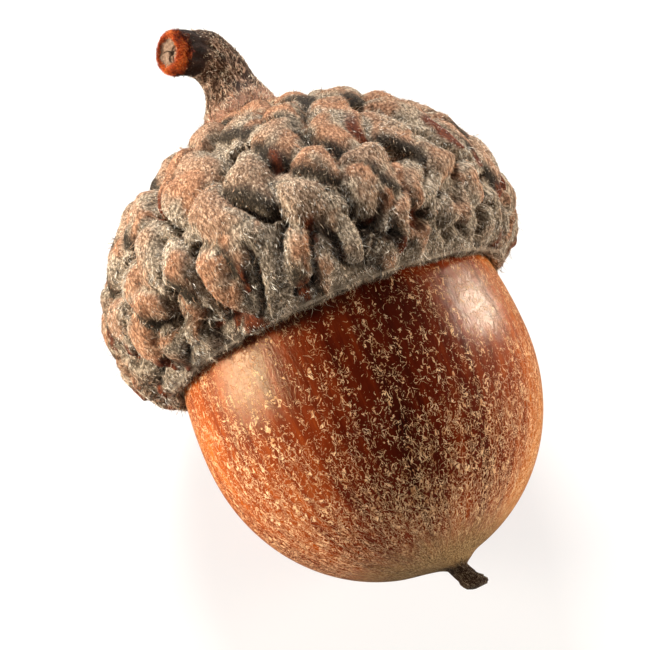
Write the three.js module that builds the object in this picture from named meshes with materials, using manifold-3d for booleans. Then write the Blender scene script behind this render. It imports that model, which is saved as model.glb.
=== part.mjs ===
// An acorn lying on its side: a nut with its beak, a scaly cup and a bent, cut stem.
// Each piece is shaped in the acorn's own frame, with +X along the axis from the cup towards
// the beak and x = 0 at the rim of the cup, and is then laid down on a flat surface.
// The finished part has its origin at the middle of its base, +X along the acorn and +Z up.

import * as THREE from 'three';
import { mergeVertices } from 'three/addons/utils/BufferGeometryUtils.js';
import Module from 'manifold-3d';

// Driving dimensions, in millimetres and degrees

const nut = {
  radius: 10.0,
  widestAt: 4.0,
  frontLength: 10.9, // from the widest place to the end, without the beak
  frontPower: 2.05, // 2 is an ellipse, more is squarer
  backLength: 15.0, // from the widest place to the end that the cup hides
  backPower: 2.1,
  segments: 32,
  rings: 8, // in each half of the outline
};

const beak = {
  flareRadius: 2.7, // where the nut's skin starts to rise into the beak
  flareRings: 4,
  neckRadius: 0.56,
  bulbRadius: 0.72,
  length: 1.85, // past the end of the nut
  lean: 1.45, // how far the end stands beside the axis
  leanAngle: 78.7, // to which side, about the axis from straight up
  leanLength: 3.45, // over which the beak and its flare lean
};

const cup = {
  radius: 12.75, // over the tops of the scales
  widestAt: -4.3,
  crownLength: 9.85, // from the widest place back to the crown
  crownPower: 1.85,
  rimLength: 6.3, // of the egg whose outline the rim follows
  rimPower: 3.0,
  rimAt: -0.12,
  outlineSteps: 60,
  segments: 28,
  rings: 9,
};

const clearance = 0.3; // between pieces that touch

const scales = {
  turn: 137.508, // from each scale to the next, the golden angle
  start: 198,
  seed: 376,
  first: 2.35, // along the surface from the crown to the first scale
  last: 0.5, // the same from the rim to the last scale
  areaAtCrown: 3.4, // square millimetres of cup for each scale
  areaAtSide: 10.4,
  areaAtRim: 4.8,
  reliefAtCrown: 0.55, // height over the surface between the scales
  reliefAtSide: 1.05,
  reliefAtRim: 0.25,
  width: 0.47, // half width of a scale that has a patch of 1 square millimetre
  length: 0.6, // half length of the same
  root: 0.35, // how deep its middle lies under the surface between the scales
  narrowing: 0.3, // towards the tip
  lowering: 0.32, // towards the tip
  wander: 0.22, // most change of place and size
  swing: 10, // most change of angle about the axis
  twist: 24, // most change of direction
  around: 8,
  along: 4,
};

const stem = {
  seatAt: -13.1, // bottom of the shallow seat in the crown of the cup
  seatDepth: 4, // of the clear space over that bottom
  footRadius: 2.3,
  middleRadius: 1.42,
  endRadius: 1.16,
  barkRing: 1.32,
  faceRadius: 0.84, // the wood inside the ring of bark on the cut end
  facePart: 0.004, // how far the wood lies back, as a part of the stem's length
  bendsTo: -11.3, // the side that it bends to, about the axis from straight up
  segments: 16,
  rings: 15,
  // Its middle line: out along the axis, to the right of the bend's side, and towards that side
  route: [
    [0, 0, 0],
    [2.1, 0.08, 0.05],
    [3.95, -0.12, 0.6],
    [4.85, -0.85, 1.6],
    [5.15, -2.4, 3.25],
  ],
};

const rest = {
  cut: 0.1, // how much the lowest spots are flattened
  steepest: 40,
};

// Small helpers

const wasm = await Module();
wasm.setup();

const { degToRad, lerp, smoothstep } = THREE.MathUtils;

// The same random share from 0 to 1 for the same number, every time
function chance(number) {
  const value = Math.sin(number * 12.9898) * 43758.5453;
  return value - Math.floor(value);
}

// A closed geometry as a solid, without the collapsed triangles at its poles
function solidOf(geometry) {
  const bare = geometry.clone();
  bare.deleteAttribute('normal');
  bare.deleteAttribute('uv');
  const merged = mergeVertices(bare);
  const index = merged.index.array;
  const kept = [];
  for (let i = 0; i < index.length; i += 3) {
    const [a, b, c] = index.slice(i, i + 3);
    if (a !== b && b !== c && c !== a) kept.push(a, b, c);
  }
  const vertProperties = new Float32Array(merged.attributes.position.array);
  const triVerts = new Uint32Array(kept);
  return new wasm.Manifold(new wasm.Mesh({ numProp: 3, vertProperties, triVerts }));
}

function geometryOf(solid) {
  const mesh = solid.getMesh();
  const geometry = new THREE.BufferGeometry();
  geometry.setAttribute('position', new THREE.BufferAttribute(mesh.vertProperties, 3));
  geometry.setIndex(new THREE.BufferAttribute(mesh.triVerts, 1));
  geometry.computeVertexNormals();
  return geometry;
}

// A body of revolution about the acorn's axis, from points of [radius, x]
function roundBody(points, segments) {
  const outline = points.map(([radius, x]) => new THREE.Vector2(radius, x));
  return new THREE.LatheGeometry(outline, segments).rotateZ(-Math.PI / 2);
}

// The direction across the axis that stands at this angle from straight up
function sideways(degrees) {
  return new THREE.Vector3(0, Math.sin(degToRad(degrees)), Math.cos(degToRad(degrees)));
}

// A point on half of an egg's outline, as its radius and its distance from the widest place:
// share 0 is the end on the axis, and share 1 the widest place
function eggPoint(radius, length, power, share) {
  const angle = (share * Math.PI) / 2;
  return [radius * Math.sin(angle), length * Math.cos(angle) ** (2 / power)];
}

// Nut

// The half of the nut that sits in the cup, made bigger all round by grow
function nutBackOutline(grow) {
  const points = [];
  for (let i = 0; i <= nut.rings; i += 1) {
    const share = i / nut.rings;
    const [radius, back] = eggPoint(nut.radius + grow, nut.backLength + grow, nut.backPower, share);
    points.push([radius, nut.widestAt - back]);
  }
  return points;
}

function nutFrontOutline() {
  const points = [];
  const flareShare = (Math.asin(beak.flareRadius / nut.radius) * 2) / Math.PI;
  for (let i = 1; i <= nut.rings; i += 1) {
    const share = lerp(1, flareShare, i / nut.rings);
    const [radius, front] = eggPoint(nut.radius, nut.frontLength, nut.frontPower, share);
    points.push([radius, nut.widestAt + front]);
  }
  return points;
}

// From the nut's skin in a hollow curve to the neck, and on to the thicker end
function beakOutline(startX) {
  const points = [];
  const nutEnd = nut.widestAt + nut.frontLength;
  const neckX = nutEnd + 0.2 * beak.length;
  for (let i = 1; i <= beak.flareRings; i += 1) {
    const share = i / beak.flareRings;
    const radius = lerp(beak.neckRadius, beak.flareRadius, (1 - share) ** 1.7);
    points.push([radius, lerp(startX, neckX, share ** 0.9)]);
  }
  points.push([beak.neckRadius, nutEnd + 0.45 * beak.length]);
  points.push([beak.bulbRadius, nutEnd + 0.68 * beak.length]);
  points.push([0.85 * beak.bulbRadius, nutEnd + 0.92 * beak.length]);
  points.push([0, nutEnd + beak.length]);
  return points;
}

function nutSolid() {
  const front = nutFrontOutline();
  const [, flareX] = front[front.length - 1];
  const points = [...nutBackOutline(0), ...front, ...beakOutline(flareX)];
  const geometry = roundBody(points, nut.segments);
  const leansFrom = nut.widestAt + nut.frontLength + beak.length - beak.leanLength;
  const side = sideways(beak.leanAngle);
  const position = geometry.attributes.position;
  for (let i = 0; i < position.count; i += 1) {
    const along = Math.max(0, (position.getX(i) - leansFrom) / beak.leanLength);
    const across = Math.hypot(position.getY(i), position.getZ(i));
    const lean = beak.lean * along ** 1.1 * (1 - smoothstep(across, 0.8, beak.flareRadius));
    position.setY(i, position.getY(i) + side.y * lean);
    position.setZ(i, position.getZ(i) + side.z * lean);
  }
  return solidOf(geometry);
}

// Cup

// The outline over the tops of the scales, each point with its distance from the crown
function cupOutline() {
  const points = [];
  for (let i = 0; i <= cup.outlineSteps; i += 1) {
    const share = i / cup.outlineSteps;
    const [radius, back] = eggPoint(cup.radius, cup.crownLength, cup.crownPower, share);
    points.push({ radius, x: cup.widestAt - back });
  }
  for (let i = cup.outlineSteps - 1; i > 0; i -= 1) {
    const share = i / cup.outlineSteps;
    const [radius, front] = eggPoint(cup.radius, cup.rimLength, cup.rimPower, share);
    if (cup.widestAt + front < cup.rimAt) points.push({ radius, x: cup.widestAt + front });
  }
  let along = 0;
  points.forEach((point, i) => {
    if (i) along += Math.hypot(point.radius - points[i - 1].radius, point.x - points[i - 1].x);
    point.along = along;
  });
  return points;
}

const outline = cupOutline();
const outlineLength = outline[outline.length - 1].along;

// The place on the outline this far from the crown. Its forward and outward directions are
// given as [x, radius].
function outlineAt(along) {
  let i = 1;
  while (i < outline.length - 1 && outline[i].along < along) i += 1;
  const [before, after] = [outline[i - 1], outline[i]];
  const step = after.along - before.along;
  const share = (along - before.along) / step;
  const dx = (after.x - before.x) / step;
  const dr = (after.radius - before.radius) / step;
  return {
    x: lerp(before.x, after.x, share),
    radius: lerp(before.radius, after.radius, share),
    forward: [dx, dr],
    outward: [-dr, dx],
  };
}

// How far the surface between the scales lies under their tops
function reliefAt(along) {
  const share = along / outlineLength;
  const end = share < 0.5 ? scales.reliefAtCrown : scales.reliefAtRim;
  return lerp(end, scales.reliefAtSide, Math.sin(Math.PI * share));
}

// The cup without its scales, and still without its hollow
function cupBody() {
  const points = [];
  for (let i = 0; i <= cup.rings; i += 1) {
    const along = (outlineLength * i) / cup.rings;
    const { x, radius, outward } = outlineAt(along);
    const depth = reliefAt(along);
    points.push([i ? radius - depth * outward[1] : 0, x - depth * outward[0]]);
  }
  const [, rimX] = points[points.length - 1];
  points.push([0, rimX]);
  return solidOf(roundBody(points, cup.segments));
}

// The part of the cup's surface that one scale has at this distance from the crown
function patchArea(along) {
  const share = along / outlineLength;
  const grown = lerp(scales.areaAtCrown, scales.areaAtSide, smoothstep(share, 0, 0.4));
  return grown - (scales.areaAtSide - scales.areaAtRim) * smoothstep(share, 0.66, 0.97);
}

// A drop with its high round end to the crown and its low narrow tip to the rim
function scaleSolid(number, along, angle) {
  const { x, radius, forward, outward } = outlineAt(along);
  const relief = reliefAt(along);
  const grown = 1 + scales.wander * (chance(number + 0.5) - 0.5);
  const patch = Math.sqrt(patchArea(along)) * grown;
  const rise = scales.root + relief * (1 + 0.28 * (chance(number + 0.7) - 0.5));
  const geometry = new THREE.SphereGeometry(1, scales.around, scales.along);
  const position = geometry.attributes.position;
  for (let i = 0; i < position.count; i += 1) {
    const toTip = position.getY(i);
    const narrow = 1 - scales.narrowing * Math.max(0, toTip);
    const low = Math.min(1, 1 - scales.lowering * (toTip + 0.4));
    const across = position.getX(i) * patch * scales.width * narrow;
    position.setXYZ(i, across, toTip * patch * scales.length, position.getZ(i) * rise * low);
  }
  geometry.rotateZ(degToRad(scales.twist * (chance(number + 0.3) - 0.5)));
  const axis = new THREE.Vector3(1, 0, 0);
  const side = sideways(angle);
  const toRim = axis.clone().multiplyScalar(forward[0]).addScaledVector(side, forward[1]);
  const up = axis.clone().multiplyScalar(outward[0]).addScaledVector(side, outward[1]);
  const middle = axis.clone().multiplyScalar(x).addScaledVector(side, radius);
  middle.addScaledVector(up, -relief - scales.root);
  const placed = new THREE.Matrix4().makeBasis(axis.cross(side), toRim, up).setPosition(middle);
  return solidOf(geometry.applyMatrix4(placed));
}

// The scales follow one spiral from the crown to the rim, each with its own patch of surface
function scaleSolids() {
  const solids = [];
  let along = scales.first;
  let number = scales.seed;
  let angle = scales.start;
  while (along < outlineLength - scales.last) {
    const patch = patchArea(along);
    const wander = scales.wander * Math.sqrt(patch) * (chance(number + 0.1) - 0.5);
    const swing = scales.swing * (chance(number + 0.9) - 0.5);
    const place = Math.min(along + wander, outlineLength - 0.9 * scales.last);
    solids.push(scaleSolid(number, place, angle + swing));
    along += patch / (2 * Math.PI * outlineAt(along).radius);
    angle += scales.turn;
    number += 1;
  }
  return solids;
}

function cupSolid() {
  const hollow = nutBackOutline(clearance);
  hollow.push([nut.radius + clearance, nut.widestAt + 1], [0, nut.widestAt + 1]);
  const seat = [
    [0, stem.seatAt - stem.seatDepth],
    [stem.footRadius + clearance, stem.seatAt - stem.seatDepth],
    [stem.footRadius + clearance, stem.seatAt],
    [0, stem.seatAt],
  ];
  return wasm.Manifold.union([cupBody(), ...scaleSolids()])
    .subtract(solidOf(roundBody(hollow, nut.segments)))
    .subtract(solidOf(roundBody(seat, stem.segments)));
}

// Stem

function stemRoute() {
  const towards = sideways(stem.bendsTo);
  const right = sideways(stem.bendsTo + 90);
  const foot = stem.seatAt - clearance;
  const points = stem.route.map(([out, across, bend]) =>
    new THREE.Vector3(foot - out, 0, 0).addScaledVector(right, across).addScaledVector(towards, bend));
  return new THREE.CatmullRomCurve3(points);
}

function stemRadius(share) {
  const foot = (stem.footRadius - stem.middleRadius) * (1 - smoothstep(share, 0.08, 0.42));
  const end = (stem.middleRadius - stem.endRadius) * smoothstep(share, 0.45, 0.85);
  return stem.middleRadius + foot - end;
}

// Points of [radius, share of the length]: the side, the ring of bark and the cut face
function stemOutline() {
  const points = [[0, 0]];
  for (let i = 0; i < stem.rings; i += 1) {
    const share = (0.94 * i) / stem.rings;
    points.push([stemRadius(share), share]);
  }
  points.push([stem.barkRing, 0.95]);
  points.push([0.98 * stem.barkRing, 0.985]);
  points.push([0.8 * stem.barkRing, 1]);
  points.push([stem.faceRadius, 1 - stem.facePart]);
  points.push([0, 1 - stem.facePart]);
  return points;
}

function stemSolid() {
  const points = stemOutline().map(([radius, share]) => new THREE.Vector2(radius, share));
  const geometry = new THREE.LatheGeometry(points, stem.segments);
  const route = stemRoute();
  const position = geometry.attributes.position;
  for (let i = 0; i < position.count; i += 1) {
    const share = position.getY(i);
    const forward = route.getTangentAt(share);
    const right = new THREE.Vector3(0, 0, 1).cross(forward).normalize();
    const placed = route.getPointAt(share)
      .addScaledVector(right, position.getX(i))
      .addScaledVector(right.clone().cross(forward), position.getZ(i));
    position.setXYZ(i, placed.x, placed.y, placed.z);
  }
  return solidOf(geometry);
}

// Laying the acorn down

const upright = { nut: nutSolid(), cup: cupSolid(), stem: stemSolid() };

// The height of a solid's lowest point once the beak's end is tipped down by this angle
function lowest(solid, tilt) {
  const { vertProperties } = solid.getMesh();
  const [sine, cosine] = [Math.sin(degToRad(tilt)), Math.cos(degToRad(tilt))];
  let low = Infinity;
  for (let i = 0; i < vertProperties.length; i += 3) {
    low = Math.min(low, vertProperties[i + 2] * cosine - vertProperties[i] * sine);
  }
  return low;
}

// The tilt at which the nut's side and the cup's scales are equally low
function restTilt() {
  let less = 0;
  let more = rest.steepest;
  for (let i = 0; i < 30; i += 1) {
    const tilt = (less + more) / 2;
    if (lowest(upright.nut, tilt) > lowest(upright.cup, tilt)) less = tilt;
    else more = tilt;
  }
  return less;
}

const tilt = restTilt();
const floorAt = lowest(upright.nut, tilt) + rest.cut;
const under = solidOf(new THREE.BoxGeometry(80, 80, 20).translate(0, 0, floorAt - 10));

const finishes = {
  nut: { color: 0x8a3f12, roughness: 0.35, metalness: 0 },
  cup: { color: 0x8d7663, roughness: 0.95, metalness: 0 },
  stem: { color: 0x4f3a2c, roughness: 0.95, metalness: 0 },
};

const group = new THREE.Group();
for (const [name, solid] of Object.entries(upright)) {
  const laid = solid.rotate([0, tilt, 0]).subtract(under);
  const mesh = new THREE.Mesh(geometryOf(laid), new THREE.MeshStandardMaterial(finishes[name]));
  mesh.name = name;
  group.add(mesh);
}

const box = new THREE.Box3().setFromObject(group);
const middle = box.getCenter(new THREE.Vector3());
group.position.set(-middle.x, -middle.y, -box.min.z);

export default group;
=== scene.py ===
import math

import bmesh
import bpy
import numpy as np
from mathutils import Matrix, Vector


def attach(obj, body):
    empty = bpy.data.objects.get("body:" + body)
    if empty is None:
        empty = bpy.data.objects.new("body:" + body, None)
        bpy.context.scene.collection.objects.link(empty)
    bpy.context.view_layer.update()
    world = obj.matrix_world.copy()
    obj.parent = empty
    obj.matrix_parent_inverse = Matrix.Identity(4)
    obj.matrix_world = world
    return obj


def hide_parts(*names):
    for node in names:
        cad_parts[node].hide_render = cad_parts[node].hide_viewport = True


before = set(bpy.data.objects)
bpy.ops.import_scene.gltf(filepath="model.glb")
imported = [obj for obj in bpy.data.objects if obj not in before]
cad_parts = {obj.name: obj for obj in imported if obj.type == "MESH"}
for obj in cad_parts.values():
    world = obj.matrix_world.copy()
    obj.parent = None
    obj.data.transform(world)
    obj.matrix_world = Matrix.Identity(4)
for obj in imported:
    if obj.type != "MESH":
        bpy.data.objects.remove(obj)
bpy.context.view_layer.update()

scene = bpy.context.scene
scene.view_settings.view_transform = "Standard"
print("frame loaded:", sorted(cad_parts))


# Camera, at the angle the photograph was taken from

cameraSettings = {
    "azimuth": 65.456,  # degrees
    "elevation": 59.557,
    "distance": 0.141,
    "focalLength": 135.1,  # mm, on a sensor 36 mm wide
    "looksAt": (0.0, 0.0, 0.012289),
    "shift": (-0.00817, -0.0272),
}


def directionFrom(azimuth, elevation):
    a, e = math.radians(azimuth), math.radians(elevation)
    return Vector((math.sin(a) * math.cos(e), -math.cos(a) * math.cos(e), math.sin(e)))


def placeCamera(s):
    lens = bpy.data.cameras.new("photoCamera")
    lens.lens = s["focalLength"]
    lens.sensor_width = 36
    lens.shift_x, lens.shift_y = s["shift"]
    lens.clip_start = 0.005
    camera = bpy.data.objects.new("photoCamera", lens)
    towards = directionFrom(s["azimuth"], s["elevation"])
    camera.location = Vector(s["looksAt"]) + towards * s["distance"]
    camera.rotation_euler = towards.to_track_quat("Z", "Y").to_euler()
    scene.collection.objects.link(camera)
    scene.camera = camera


placeCamera(cameraSettings)
print("camera placed")


# The acorn's own frame: millimetres, +X from the cup to the beak, x = 0 at the cup's rim

acornPose = {
    "tilt": 16.362023502588272,  # degrees, beak down
    "rimAt": (1.0942373, 0.0066829, 11.1277819),  # middle of the rim in the part's frame, mm
}

nutShape = {
    "radius": 10.0,
    "widestAt": 4.0,
    "frontLength": 10.9,
    "frontPower": 2.05,
    "backLength": 15.0,
    "backPower": 2.1,
    "around": 132,
    "rings": 44,  # in each half
    "flareRings": 16,
    "flarePower": 1.7,
    "flareSpread": 0.9,
    "flareRadius": 2.7,  # where the skin starts to rise into the beak
    "neckRadius": 0.6,
    "bulbRadius": 0.72,
    "beakLength": 1.85,
    "neckAt": 0.2,  # part of the beak's length
    "lean": 1.45,
    "leanAngle": 78.7,
    "leanLength": 3.45,
}

cupShape = {
    "radius": 12.75,  # over the tops of the scales
    "widestAt": -4.3,
    "crownLength": 9.85,
    "crownPower": 1.85,
    "rimLength": 6.3,
    "rimPower": 3.0,
    "rimAt": -0.12,
    "clearance": 0.3,  # to the nut
    # the lip's outline: part of the wall's thickness inward, mm forward
    "lip": [(0.06, 0.16), (0.3, 0.32), (0.62, 0.34), (0.86, 0.2), (0.92, 0.02)],
    "outlineSteps": 240,
    "around": 364,
    "rings": 164,
    "overhang": 0.32,  # how far a scale's tip stands forward, as a part of its height
    "raggedLip": [(28, 0.8, 0.08), (29, 0.3, 0.05)],  # seed, size and depth of its unevenness, mm
}

scaleRule = {
    "turn": 137.508,
    "start": 198,
    "seed": 376,
    "first": 2.35,
    "last": 0.5,
    "areaAtCrown": 3.4,
    "areaAtSide": 10.4,
    "areaAtRim": 4.8,
    "reliefAtCrown": 0.55,
    "reliefAtSide": 1.05,
    "reliefAtRim": 0.25,
    "width": 0.45,
    "length": 0.86,
    "root": 0.35,
    "narrowing": 0.3,
    "lowering": 0.24,
    "wander": 0.22,
    "swing": 10,
    "twist": 24,
    "swollen": 1.06,  # how much wider and longer the scales are than their seats
    "fullness": 2.8,  # 2 is a plain dome, more is a fuller pillow
    "lap": 0.35,  # how much a scale's crown end dips under the one before it
    "deepen": 0.3,  # mm that the valleys between scales lie deeper
    "uneven": 0.46,  # mm that the scales' outlines wander
    "web": (-0.02, 0.42),  # how far felt fills the valleys, as a part of the relief
    "crease": 0.9,  # mm, how deep the cleft beside a scale is
    "creaseWidth": 0.1,  # as a part of the scale's size
    "ribs": 0.85,  # mm, how deep the furrows between the ribs near the rim are
    "ribSize": 1.5,
    "ribStretch": 0.34,
    "ribZone": (2.6, 5.5),  # mm from the rim between which the furrows fade
    "higherAtRim": 0.6,  # how much higher the scales stand near the rim
    "darkShadedEnds": 0.6,  # share of the scales whose lower end is blackish, partly their own dark patch and partly painted shade
    "worn": 0.5,  # share of the scales whose top is worn to its brown
    "wornTops": 0.76,  # how bare such a top is
    "otherTops": (0.22, 0.5),  # the least that the other tops are worn, and the range over it
    "bareTips": 0.38,  # share of the scales with a bare tongue at the tip
}


def laidDown(points):  # from the acorn's own frame to the part's, in metres
    t = math.radians(acornPose["tilt"])
    p = np.asarray(points, float)
    x = p[:, 0] * math.cos(t) + p[:, 2] * math.sin(t)
    z = p[:, 2] * math.cos(t) - p[:, 0] * math.sin(t)
    return (np.stack([x, p[:, 1], z], 1) + np.array(acornPose["rimAt"])) * 0.001


def laidAlong(directions):
    return (laidDown(directions) - laidDown(np.zeros((1, 3)))) * 1000


def sideways(degrees):  # away from the acorn's axis
    a = math.radians(degrees)
    return np.array([0, math.sin(a), math.cos(a)])


def chance(number):
    value = math.sin(number * 12.9898) * 43758.5453
    return value - math.floor(value)


def smooth(value, low, high):
    share = np.clip((value - low) / (high - low), 0, 1)
    return share * share * (3 - 2 * share)


def distanceAlong(points):
    return np.concatenate([[0], np.linalg.norm(np.diff(points, axis=0), axis=1).cumsum()])


def eggPoint(radius, length, power, share):
    angle = share * math.pi / 2
    return radius * math.sin(angle), length * max(0.0, math.cos(angle)) ** (2 / power)


# Seeded smooth noise for moving points, about -1 to 1

class SoftNoise:
    def __init__(self, seed, size):
        self.table = np.random.default_rng(seed).uniform(-1, 1, (24, 24, 24))
        self.size = size

    def at(self, points):
        p = np.asarray(points) / self.size
        cell = np.floor(p).astype(int)
        f = p - cell
        f = f * f * (3 - 2 * f)
        total = 0
        for corner in np.ndindex(2, 2, 2):
            weight = np.prod(np.where(corner, f, 1 - f), axis=1)
            i, j, k = ((cell + corner) % 24).T
            total = total + weight * self.table[i, j, k]
        return total * 1.6


# Materials: one shader, with nodes added to it. Colours are given as a screen's, 0 to 255

def newMaterial(name, **sockets):
    material = bpy.data.materials.new(name)
    material.use_nodes = True
    shader = material.node_tree.nodes["Principled BSDF"]
    for key, value in sockets.items():
        shader.inputs[key.replace("_", " ")].default_value = value
    return material, shader


def feed(material, socket, value):
    if isinstance(value, bpy.types.NodeSocket):
        material.node_tree.links.new(value, socket)
    else:
        socket.default_value = value


def addNode(material, kind, inputs=None, **choices):
    node = material.node_tree.nodes.new("ShaderNode" + kind)
    for key, value in choices.items():
        setattr(node, key, value)
    for key, value in (inputs or {}).items():
        feed(material, node.inputs[key], value)
    return node


def sums(material, operation, a, b=0.0, c=0.0, clamp=False):
    node = addNode(material, "Math", {0: a, 1: b}, operation=operation, use_clamp=clamp)
    if operation == "MULTIPLY_ADD":
        feed(material, node.inputs[2], c)
    return node.outputs[0]


def between(material, value, low, high, start=0.0, end=1.0):
    inputs = {"Value": value, "From Min": low, "From Max": high, "To Min": start, "To Max": end}
    return addNode(material, "MapRange", inputs, interpolation_type="SMOOTHSTEP").outputs[0]


def mixColour(material, share, first, second, kind="MIX"):
    node = addNode(material, "Mix", data_type="RGBA", blend_type=kind)
    feed(material, node.inputs["Factor"], share)
    feed(material, node.inputs["A"], first)
    feed(material, node.inputs["B"], second)
    return node.outputs["Result"]


def noiseOn(material, place, size, detail=3.0, roughness=0.5, distortion=0.0):
    inputs = {"Vector": place, "Scale": size, "Detail": detail}
    inputs.update({"Roughness": roughness, "Distortion": distortion})
    return addNode(material, "TexNoise", inputs).outputs["Fac"]


def thinLine(material, place, size, width, core):  # where a noise crosses its middle
    middle = sums(material, "SUBTRACT", noiseOn(material, place, size, 1.0, 0.4), 0.5)
    return between(material, sums(material, "ABSOLUTE", middle), width, width * core)


def largest(material, values):
    total = values[0]
    for value in values[1:]:
        total = sums(material, "MAXIMUM", total, value)
    return total


def readPoints(material, name, output="Fac"):  # what a piece keeps on its points
    return addNode(material, "Attribute", attribute_name=name).outputs[output]


def stretched(material, place, amounts):
    return addNode(material, "VectorMath", {0: place, 1: amounts}, operation="MULTIPLY").outputs[0]


def wandering(material, place, amounts, size, reach, middle):  # a stretched place, moved about by soft noise
    swirl = addNode(material, "TexNoise", {"Vector": place, "Scale": size, "Detail": 2.0}).outputs["Color"]
    swirl = addNode(material, "VectorMath", {0: swirl, 1: (middle,) * 3}, operation="SUBTRACT").outputs[0]
    swirl = addNode(material, "VectorMath", {0: swirl, "Scale": reach}, operation="SCALE").outputs[0]
    inputs = {0: stretched(material, place, amounts), 1: swirl}
    return addNode(material, "VectorMath", inputs, operation="ADD").outputs[0]


def colourOf(*screen):  # the shader's linear numbers
    linear = [((c / 255 + 0.055) / 1.055) ** 2.4 if c > 10 else c / 255 / 12.92 for c in screen]
    return (*linear, 1)


def ramp(material, share, stops):
    node = addNode(material, "ValToRGB", {"Fac": share})
    band = node.color_ramp
    while len(band.elements) < len(stops):
        band.elements.new(0.5)
    for element, stop in zip(band.elements, stops):
        element.position = stop[0]
    for element, stop in zip(band.elements, stops):
        element.color = colourOf(*stop[1])
    return node.outputs["Color"]


# Pieces

def finishPiece(name, bm, material):
    mesh = bpy.data.meshes.new(name)
    bm.to_mesh(mesh)
    bm.free()
    return showPiece(name, mesh, material)


def showPiece(name, mesh, material):
    mesh.materials.append(material)
    mesh.shade_smooth()
    piece = bpy.data.objects.new(name, mesh)
    scene.collection.objects.link(piece)
    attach(piece, "root")
    return piece


def keepOnPoints(piece, values):  # numbers and vectors that the material and the hairs read
    for name, numbers in values.items():
        kind, field = ("FLOAT_VECTOR", "vector") if numbers.ndim == 2 else ("FLOAT", "value")
        layer = piece.data.attributes.new(name, kind, "POINT")
        layer.data.foreach_set(field, numbers.astype(np.float32).ravel())


def spunBody(points, around):
    bm = bmesh.new()
    verts = [bm.verts.new((x, 0, max(0.0, radius))) for radius, x in points]
    edges = [bm.edges.new(pair) for pair in zip(verts, verts[1:])]
    bmesh.ops.spin(bm, geom=verts + edges, cent=(0, 0, 0), axis=(1, 0, 0), angle=math.tau,
                   steps=around, use_merge=True)
    bmesh.ops.remove_doubles(bm, verts=bm.verts, dist=0.0005)
    bmesh.ops.recalc_face_normals(bm, faces=bm.faces)
    bm.verts.index_update()
    step = 4 * len(bm.verts)  # spin leaves the faces in any order, and the hairs need the same one each run
    bm.faces.sort(key=lambda f: min(v.index for v in f.verts) * step + sum(v.index for v in f.verts))
    bm.verts.ensure_lookup_table()
    return bm


def placesOf(bm):
    return np.array([v.co for v in bm.verts])


def movePoints(bm, places):
    for vert, place in zip(bm.verts, places.tolist()):
        vert.co = place


# Nut

def nutBackOutline(grow, rings):
    n = nutShape
    points = []
    for i in range(rings + 1):
        radius, back = eggPoint(n["radius"] + grow, n["backLength"] + grow, n["backPower"], i / rings)
        points.append((radius, n["widestAt"] - back))
    return points


def nutOutline():
    n = nutShape
    points = nutBackOutline(0, n["rings"])
    flareShare = math.asin(n["flareRadius"] / n["radius"]) * 2 / math.pi
    for i in range(1, n["rings"] + 1):
        share = 1 + (flareShare - 1) * i / n["rings"]
        radius, front = eggPoint(n["radius"], n["frontLength"], n["frontPower"], share)
        points.append((radius, n["widestAt"] + front))
    startX = points[-1][1]
    nutEnd = n["widestAt"] + n["frontLength"]
    neckX = nutEnd + n["neckAt"] * n["beakLength"]
    for i in range(1, n["flareRings"] + 1):
        share = i / n["flareRings"]
        radius = n["neckRadius"] + (n["flareRadius"] - n["neckRadius"]) * (1 - share) ** n["flarePower"]
        points.append((radius, startX + (neckX - startX) * share ** n["flareSpread"]))
    bulb = [(0.45, n["neckRadius"]), (0.58, 0.62), (0.7, n["bulbRadius"]), (0.82, 0.7)]
    bulb += [(0.91, 0.62), (0.97, 0.42), (1.0, 0.0)]
    for part, radius in bulb:
        points.append((radius, nutEnd + part * n["beakLength"]))
    return points


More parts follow.
